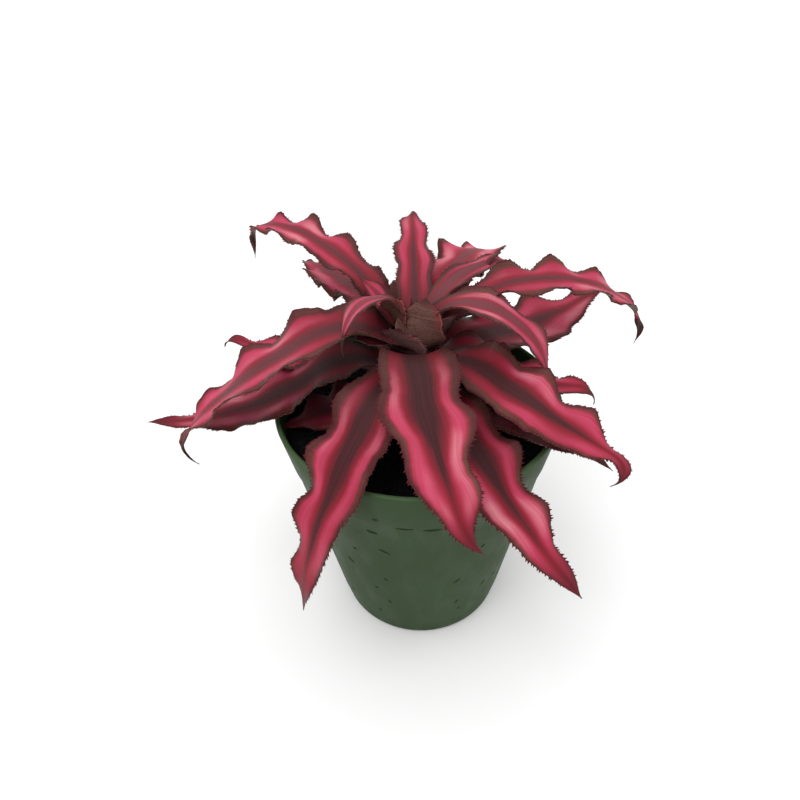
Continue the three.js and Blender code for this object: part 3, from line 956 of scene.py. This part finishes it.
outer_foot = (wall_radius(HEEL), HEEL)
outer_step = (wall_radius(BAND_FOOT) - BAND_STEP, BAND_FOOT - BAND_STEP)
inner_step = (outer_step[0] - WALL, outer_step[1])
inner_foot = (wall_radius(FLOOR) - WALL, FLOOR)
pot_profile = [
    (0.0, 0.0),
    (BASE_RADIUS * 0.5, 0.0),
    *rounded(BASE_RADIUS - HEEL, HEEL, HEEL, -90, 0, 8),
    *sampled(outer_foot, outer_step, 10),
    outer_step,
    (wall_radius(BAND_FOOT) - 0.15 * MM, BAND_FOOT - 0.05 * MM),
    (wall_radius(BAND_FOOT), BAND_FOOT + 0.35 * MM),
    *rounded(RIM_RADIUS - LIP, pot_height - LIP, LIP, 0, 180, 10),
    *sampled((RIM_RADIUS - 2 * LIP, pot_height - LIP), inner_step, 4),
    inner_step,
    *sampled(inner_step, inner_foot, 6),
    inner_foot,
    (BASE_RADIUS * 0.5, FLOOR),
    (0.0, FLOOR),
]
pot_mesh = turned("pot_turned", pot_profile, POT_SIDES)
print("pot profile:", len(pot_profile), "points, rim", round(2 * RIM_RADIUS, 4), "across")

# %% Drain holes
DRAIN_HOLES = 6
DRAIN_RADIUS = 3 * MM
DRAIN_CIRCLE = 25 * MM
DRILL_SIDES = 32


def hole_recipe():
    inputs = {"holes": "Int", "circle radius": "Float", "hole radius": "Float", "depth": "Float"}
    b, group = recipe("drain holes", inputs | {"material": "Material"})
    circle = {"Vertices": group.out("holes"), "Radius": group.out("circle radius")}
    ring = b.add("GeometryNodeMeshCircle", None, circle)
    radius, depth = group.out("hole radius"), group.out("depth")
    cylinder = {"Vertices": DRILL_SIDES, "Radius": radius, "Depth": depth}
    drill_bit = b.add("GeometryNodeMeshCylinder", None, cylinder)
    holes = b.add("GeometryNodeInstanceOnPoints", None, {"Points": ring, "Instance": drill_bit})
    serve(b, [holes], group.out("material"))
    return b


hole_sizes = {
    "holes": DRAIN_HOLES,
    "circle radius": DRAIN_CIRCLE,
    "hole radius": DRAIN_RADIUS,
    "depth": 3 * FLOOR,
    "material": POT_FINISH,
}
drill = cook("drain_hole_cutter", hole_recipe(), hole_sizes)
print("drill for", DRAIN_HOLES, "holes:", triangles(drill), "triangles")

# %% Nicks in the wall: azimuth, height in millimetres, tilt in degrees, length in millimetres
NICKS = [
    (-106, 65, 26, 6.0), (-128, 48, 30, 4.0), (-110, 76.5, 8, 4.5), (-96, 82, 2, 6.0),
    (-85, 81.2, 0, 6.5), (-108, 44, 50, 2.6), (-108.5, 26, 70, 3.0), (-117, 15, 60, 2.4),
    (-139, 18, 35, 3.0), (-71, 42, -40, 4.6), (-51, 29.5, -50, 3.8), (-68.5, 24.5, -60, 2.6),
    (-66, 17.5, -70, 2.2), (-115, 35, 40, 1.8), (-107, 86, 6, 2.4), (-41, 29, -55, 2.4),
    (-122, 60, 30, 1.8), (-60, 62, -40, 2.2), (20, 52, 15, 4.0), (75, 38, -20, 3.2),
    (110, 66, 12, 5.0), (160, 45, 30, 3.0), (-170, 58, -15, 3.6), (-15, 33, 50, 2.4),
]
NICK_WIDTH = 0.75 * MM
NICK_DEPTH = 0.50 * MM


def nick_recipe():
    """One long dent, set on every point, laid along the wall and stretched to its length."""
    inputs = {"width": "Float", "depth": "Float", "material": "Material"}
    b, group = recipe("wall nicks", inputs)
    ball = {"Segments": 12, "Rings": 6, "Radius": 1.0}
    dent = b.add("GeometryNodeMeshUVSphere", None, ball)
    turn = facing(b, stored(b, "outward"), stored(b, "lengthwise"))
    size = b.xyz(stored(b, "half_length", "FLOAT"), group.out("width"), group.out("depth"))
    serve(b, [set_out(b, group, dent, turn, size)], group.out("material"))
    return b


def outside_radius(z):
    """The wall's outside at z: below the rim band it runs straight from the foot to the step."""
    step = BAND_STEP if z < BAND_FOOT else 0.0
    return wall_radius(z) - step * z / BAND_FOOT


def nick_points():
    """One vertex on the wall for each nick, with the way it faces and the way it runs."""
    mesh = bpy.data.meshes.new("nick_points")
    places, outward, lengthwise, halves = [], [], [], []
    for azimuth, z, tilt, length in NICKS:
        a, lean = math.radians(azimuth), math.radians(tilt)
        out = Vector((math.cos(a), math.sin(a), 0.0))
        level = Vector((-math.sin(a), math.cos(a), 0.0))
        places.append(out * outside_radius(z * MM) + Vector((0, 0, z * MM)))
        outward.append(out)
        lengthwise.append(level * math.cos(lean) - Vector((0, 0, 1)) * math.sin(lean))
        halves.append(length / 2 * MM)
    mesh.from_pydata(places, [], [])
    for name, values in (("outward", outward), ("lengthwise", lengthwise)):
        layer = mesh.attributes.new(name, "FLOAT_VECTOR", "POINT")
        for item, value in zip(layer.data, values):
            item.vector = value
    layer = mesh.attributes.new("half_length", "FLOAT", "POINT")
    layer.data.foreach_set("value", halves)
    return mesh


nick_sizes = {"width": NICK_WIDTH, "depth": NICK_DEPTH, "material": POT_FINISH}
nick_cutter = cook("nick_cutter", nick_recipe(), nick_sizes, base=nick_points())
print("nicks:", len(NICKS))

# %% Cut the pot
pot = bpy.data.objects.new("nursery_pot", pot_mesh)
scene.collection.objects.link(pot)
for tool in (drill, nick_cutter):
    cut = pot.modifiers.new("cut", "BOOLEAN")
    cut.operation, cut.solver, cut.object = "DIFFERENCE", "EXACT", tool
graph = bpy.context.evaluated_depsgraph_get()
cut_mesh = bpy.data.meshes.new_from_object(pot.evaluated_get(graph), depsgraph=graph)
pot.modifiers.clear()
pot.data = cut_mesh
for tool in (drill, nick_cutter):
    bpy.data.objects.remove(tool)
pot.data.materials.clear()
pot.data.materials.append(POT_FINISH)
for face in pot.data.polygons:
    face.material_index = 0
    face.use_smooth = True
pot.data.set_sharp_from_angle(angle=POT_CREASE)
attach(pot, "root")
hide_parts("pot")
print("pot:", triangles(pot), "triangles")

# %% [markdown]
# ## Potting soil
# Wet peat is almost black and breaks into crumbs and short fibres. Two noises make the bed's
# surface lumpy, and a Geometry Nodes tree scatters loose crumbs over the top of it.

# %% Mix the soil finish
PEAT = screen(9, 8, 9)
PEAT_LIGHT = screen(26, 22, 20)


def peat_finish():
    material, b = start_finish("damp_peat")
    place = object_place(b)
    crumbs = b.noise(place, 420.0, 4.0, 0.7)
    clumps = b.noise(place, 90.0, 2.0)
    colour = b.mix(b.ramp(crumbs * 0.7 + clumps * 0.3, 0.5, 0.72), PEAT, PEAT_LIGHT)
    roughness = b.ramp(clumps, 0.3, 0.7, 0.82, 0.97)
    end_finish(b, colour, roughness, crumbs, strength=0.8, depth=0.6 * MM, specular=0.15)
    return material


PEAT_FINISH = peat_finish()
print("soil finish:", len(PEAT_FINISH.node_tree.nodes), "nodes")

# %% Soil bed
SOIL_MOUND = 1.5 * MM
SOIL_RINGS = 30
SOIL_SIDES = 144
SOIL_EASE = 0.5 * MM  # at its foot it is this much narrower still than the gap leaves
LUMP = 1.1 * MM
CALM_RIM = 3 * MM  # the lumps fade out over this distance from the pot
soil_low, soil_top = (corner.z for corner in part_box("potting_soil"))
soil_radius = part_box("potting_soil")[1].x
soil_level = soil_top - SOIL_MOUND
soil_foot = (wall_radius(FLOOR) - BAND_STEP - WALL - GAP - SOIL_EASE, soil_low)
top_rings = [
    (soil_radius * (1 - i / SOIL_RINGS), soil_level + SOIL_MOUND * (i / SOIL_RINGS) ** 1.4)
    for i in range(SOIL_RINGS + 1)
]
soil_side = sampled(soil_foot, (soil_radius, soil_level), 4)
soil_profile = [(0.0, soil_low), soil_foot, *soil_side, *top_rings]
soil_mesh = turned("soil_bed", soil_profile, SOIL_SIDES)
for vertex in soil_mesh.vertices:
    if vertex.co.z > soil_level - 0.01 * MM:
        fade = min(1.0, (soil_radius - vertex.co.xy.length) / CALM_RIM)
        coarse, fine = noise.noise(vertex.co * 180), noise.noise(vertex.co * 520)
        lumps = coarse * 0.6 + fine * 0.45
        vertex.co.z += LUMP * fade * (lumps - 0.25)
print("soil bed:", round(2 * soil_radius, 4), "across, level", round(soil_level, 4))

# %% Scatter crumbs on the bed
CRUMB_RADIUS = 0.95 * MM
CRUMBS_PER_SQUARE_METRE = 420000.0


def crumb_recipe():
    inputs = {"crumbs per square metre": "Float", "size": "Float", "seed": "Int"}
    b, group = recipe("soil crumbs", inputs | {"material": "Material"})
    seed = group.out("seed")
    normal = b.add("GeometryNodeInputNormal")
    upward = b.add("ShaderNodeSeparateXYZ", None, {0: normal}, "Z").math("GREATER_THAN", 0.3)
    density = group.out("crumbs per square metre")
    spread = {"Mesh": group, "Selection": upward, "Density": density, "Seed": seed}
    scatter = b.add("GeometryNodeDistributePointsOnFaces", None, spread)
    ball = {"Radius": group.out("size"), "Subdivisions": 1}
    crumb = b.add("GeometryNodeMeshIcoSphere", None, ball)

    def any_of(low, high, offset):
        """Three numbers for each crumb. Offset keeps its turn and its size apart."""
        sockets = {0: (low,) * 3, 1: (high,) * 3, "Seed": seed + offset}
        return b.add("FunctionNodeRandomValue", {"data_type": "FLOAT_VECTOR"}, sockets)

    turn = b.add("FunctionNodeEulerToRotation", None, {0: any_of(0.0, 2 * math.pi, 1)})
    crumbs = set_out(b, scatter, crumb, turn, any_of(0.35, 1.25, 2))
    serve(b, [group, crumbs], group.out("material"))
    return b


crumb_sizes = {
    "crumbs per square metre": CRUMBS_PER_SQUARE_METRE,
    "size": CRUMB_RADIUS,
    "seed": 4,
    "material": PEAT_FINISH,
}
soil = cook("potting_soil_bed", crumb_recipe(), crumb_sizes, base=soil_mesh)
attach(soil, "root")
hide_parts("potting_soil")
print("soil:", triangles(soil), "triangles")

# %% [markdown]
# ## Stem
# The short stem hides between the leaf bases. It shows the ring scars of shed leaves, so its
# profile swells and narrows every few millimetres, and its bark is brown and fibrous.

# %% Mix the bark finish
BARK_DARK, BARK, HUSK = screen(58, 34, 28), screen(104, 76, 56), screen(46, 26, 24)


def bark_finish():
    material, b = start_finish("fibrous_bark")
    place = object_place(b)
    rings = b.noise(b.vector("MULTIPLY", place, (0.4, 0.4, 1.6)), 600.0, 3.0)
    husk = b.noise(b.vector("MULTIPLY", place, (1.5, 1.5, 0.25)), 700.0, 3.0)
    colour = b.mix(rings, BARK_DARK, BARK)
    colour = b.mix(b.ramp(husk, 0.5, 0.7) * 0.6, colour, HUSK)
    roughness = b.ramp(husk, 0.3, 0.7, 0.7, 0.9)
    end_finish(b, colour, roughness, husk + rings, strength=0.7, depth=0.4 * MM, specular=0.5)
    return material


BARK_FINISH = bark_finish()
print("bark finish:", len(BARK_FINISH.node_tree.nodes), "nodes")

# %% Turn the stem
STEM_STEPS = 70
STEM_SIDES = 48
SCAR = 0.25 * MM
SCAR_SPACING = 2.6 * MM
stem_profile = [(0.0, stem_low)]
for i in range(STEM_STEPS + 1):
    z = stem_low + (stem_high - stem_low) * i / STEM_STEPS
    scar = SCAR * abs(math.sin(math.pi * (z - stem_low) / SCAR_SPACING))
    stem_profile.append((stem_radius(z) - scar, z))
stem_profile.append((0.0, stem_high))
stem = bpy.data.objects.new("ringed_stem", turned("ringed_stem", stem_profile, STEM_SIDES))
scene.collection.objects.link(stem)
stem.data.materials.append(BARK_FINISH)
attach(stem, "root")
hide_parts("stem")
print("stem:", triangles(stem), "triangles")

# %% [markdown]
# ## Studio
# A wide pale floor, a white surround, and one large soft light above and in front. Nothing
# casts a hard shadow, so the stripes and the ruffles read clearly.

# %% Floor
FLOOR_HALF = 12.0
FLOOR_DROP = 0.1 * MM


def floor_finish():
    material = bpy.data.materials.new("pale_floor")
    material.use_nodes = True
    shader = material.node_tree.nodes["Principled BSDF"]
    shader.inputs["Base Color"].default_value = (0.9, 0.9, 0.9, 1.0)
    shader.inputs["Roughness"].default_value = 0.9
    shader.inputs["Specular IOR Level"].default_value = 0.0
    return material


floor_mesh = bpy.data.meshes.new("floor")
square = [(-1, -1), (1, -1), (1, 1), (-1, 1)]
corners = [(x * FLOOR_HALF, y * FLOOR_HALF, -FLOOR_DROP) for x, y in square]
floor_mesh.from_pydata(corners, [], [(0, 1, 2, 3)])
floor_mesh.materials.append(floor_finish())
floor = bpy.data.objects.new("floor", floor_mesh)
scene.collection.objects.link(floor)
floor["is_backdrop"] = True
print("floor:", 2 * FLOOR_HALF, "metres across")

# %% Lights
LIGHT_PLACE = Vector((-0.25, -0.45, 1.0))
LIGHT_AIM = Vector((0.0, 0.0, 0.1))
LIGHT_SIZE = 0.6
LIGHT_POWER = 3.2
HORIZON_LIGHT, ZENITH_LIGHT = 0.40, 1.5

light = bpy.data.lights.new("key", "AREA")
light.shape, light.size, light.energy = "DISK", LIGHT_SIZE, LIGHT_POWER
lamp = bpy.data.objects.new("key", light)
lamp.location = LIGHT_PLACE
lamp.rotation_mode = "QUATERNION"
lamp.rotation_quaternion = (LIGHT_AIM - LIGHT_PLACE).to_track_quat("-Z", "Y")
scene.collection.objects.link(lamp)

world = bpy.data.worlds.new("surround")
scene.world = world
world.use_nodes = True
sky = Bench(world.node_tree)
direction = sky.add("ShaderNodeTexCoord", None, None, "Generated")
height = sky.add("ShaderNodeSeparateXYZ", None, {0: direction}, "Z")
background = sky.tree.nodes["Background"].inputs
sky.feed(background["Strength"], sky.ramp(height, 0.0, 1.0, HORIZON_LIGHT, ZENITH_LIGHT))
sky.feed(background["Color"], (1.0, 1.0, 1.0))
print("one soft light and a white surround, brightest overhead")

# %% [markdown]
# ## Finish
# The triangles of every shown piece are added up.

# %% Count the triangles
total = sum(triangles(piece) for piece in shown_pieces() if piece.type == "MESH")
print("whole object:", total, "triangles")
